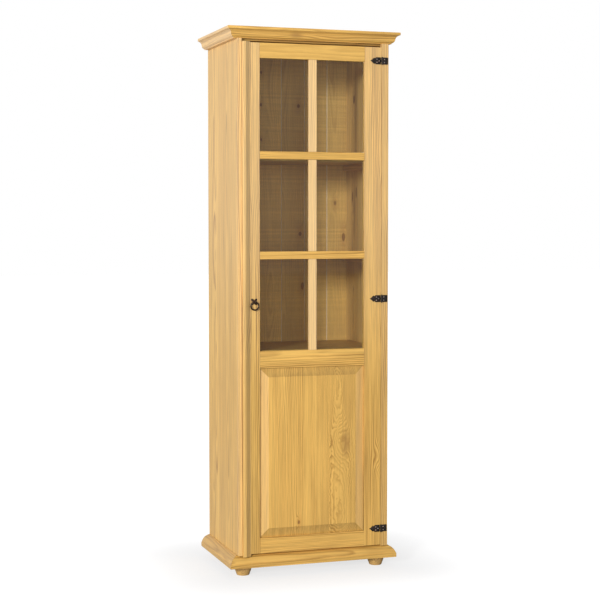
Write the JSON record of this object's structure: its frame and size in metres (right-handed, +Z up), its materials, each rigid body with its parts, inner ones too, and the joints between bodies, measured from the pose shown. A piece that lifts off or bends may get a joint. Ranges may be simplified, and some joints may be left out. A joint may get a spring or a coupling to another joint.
{
  "type": "pantry cabinet",
  "caption": "Tall narrow pine cabinet with a hinged door, glazed with small lights above a raised panel, a moulded cornice and plinth, bun feet and an iron ring pull.",
  "frame": {"origin": "on the floor, at the centre of the bounding box of the shut cabinet", "axes": "+Z up, the front with the door faces -Y, +X to the right of someone facing the door"},
  "size_m": [0.664, 0.428, 2],
  "materials": {
    "pine": "waxed pine, satin",
    "pine_pale": "waxed pine, satin",
    "pine_deep": "waxed pine, satin",
    "pine_inside": "pine, flat",
    "glass": "clear",
    "iron": "black, hammered",
    "steel": "plain",
    "plastic": "brown, flat"
  },
  "bodies": {
    "carcase": {"side_right": "pine", "front_strip_right": "pine", "cornice_front": "pine", "plinth_front": "pine", "foot_front_left": "pine", "foot_front_right": "pine", "foot_back_left": "pine", "foot_back_right": "pine", "side_left": "pine_pale", "front_strip_left": "pine_pale", "cornice_left": "pine_pale", "plinth_left": "pine_pale", "cornice_right": "pine_deep", "plinth_right": "pine_deep", "plinth_back": "pine_deep", "bottom_board": "pine_inside", "shelf_middle": "pine_inside", "shelf_lower": "pine_inside", "shelf_upper": "pine_inside", "top_board": "pine_inside", "cornice_cover": "pine_inside", "cleat_lower_left": "pine_inside", "cleat_lower_right": "pine_inside", "cleat_upper_left": "pine_inside", "cleat_upper_right": "pine_inside", "back_board_1": "pine_inside", "back_board_2": "pine_inside", "back_board_3": "pine_inside", "back_board_4": "pine_inside", "back_board_5": "pine_inside", "back_board_6": "pine_inside", "hinge_bottom_frame_leaf": "iron", "hinge_bottom_pin": "iron", "hinge_middle_frame_leaf": "iron", "hinge_middle_pin": "iron", "hinge_top_frame_leaf": "iron", "hinge_top_pin": "iron", "catch_magnet": "plastic"},
    "door": {"stile_left": "pine", "stile_right": "pine", "rail_top": "pine", "rail_middle": "pine", "rail_bottom": "pine", "muntin_upright": "pine_pale", "muntin_lower": "pine", "muntin_upper": "pine", "glass": "glass", "bead_left": "pine_inside", "bead_right": "pine_inside", "bead_bottom": "pine_inside", "bead_top": "pine_inside", "panel": "pine", "closing_strip": "pine_pale", "catch_strike": "steel", "hinge_bottom_door_leaf": "iron", "hinge_middle_door_leaf": "iron", "hinge_top_door_leaf": "iron", "pull_plate": "iron"},
    "ring": {"pull_ring": "iron"}
  },
  "joints": [
    {"name": "door_swing", "type": "hinge", "parent": "carcase", "child": "door", "pos_m": [0.265, -0.1982, 1.013], "axis": [0, 0, 1], "range_deg": [0, 170]},
    {"name": "ring_swing", "type": "hinge", "parent": "door", "child": "ring", "pos_m": [-0.231, -0.2026, 1.009], "axis": [-1, 0, 0], "range_deg": [0, 120]}
  ]
}
